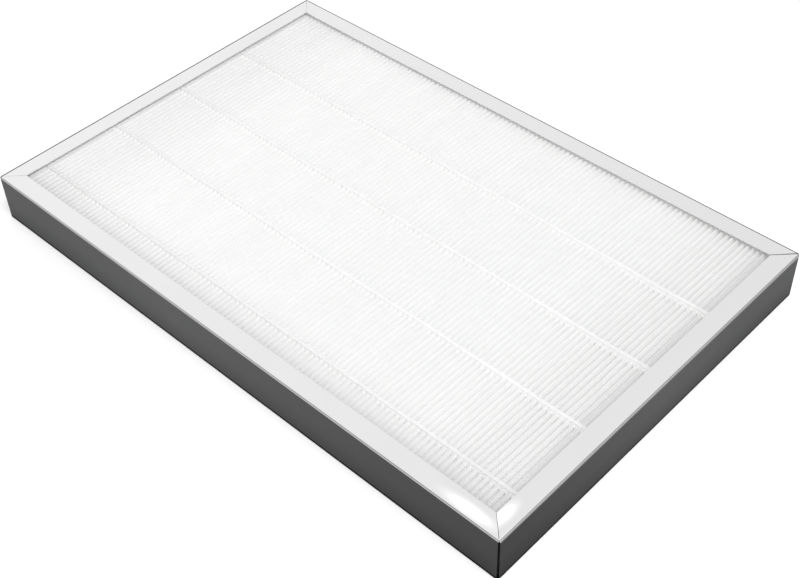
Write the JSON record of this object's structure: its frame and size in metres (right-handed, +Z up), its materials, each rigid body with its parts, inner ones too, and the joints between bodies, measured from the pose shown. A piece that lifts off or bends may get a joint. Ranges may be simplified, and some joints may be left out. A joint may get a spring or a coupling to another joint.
{
  "type": "air purifier filter",
  "caption": "Flat rectangular air filter: a mini-pleated media pack with hot-melt separator threads in a folded sheet-metal channel frame.",
  "frame": {"origin": "centre of the underside, on the surface that the frame's lower rim rests on", "axes": "+X along the filter's length, +Y along its width and its pleats, +Z up, the way the air goes through"},
  "size_m": [0.4, 0.262, 0.0325],
  "materials": {
    "frame_metal": "satin rolled sheet",
    "media": "matt glass-fibre paper",
    "hot_melt": "waxy hot-melt glue",
    "sealant": "matt polyurethane sealant"
  },
  "bodies": {
    "root": {"frame_channel": "frame_metal", "media_pack": "media", "glue_thread_upper_1": "hot_melt", "glue_thread_upper_2": "hot_melt", "glue_thread_upper_3": "hot_melt", "glue_thread_upper_4": "hot_melt", "glue_thread_lower_1": "hot_melt", "glue_thread_lower_2": "hot_melt", "glue_thread_lower_3": "hot_melt", "glue_thread_lower_4": "hot_melt", "sealant_near": "sealant", "sealant_far": "sealant", "sealant_left": "sealant", "sealant_right": "sealant"}
  },
  "joints": []
}
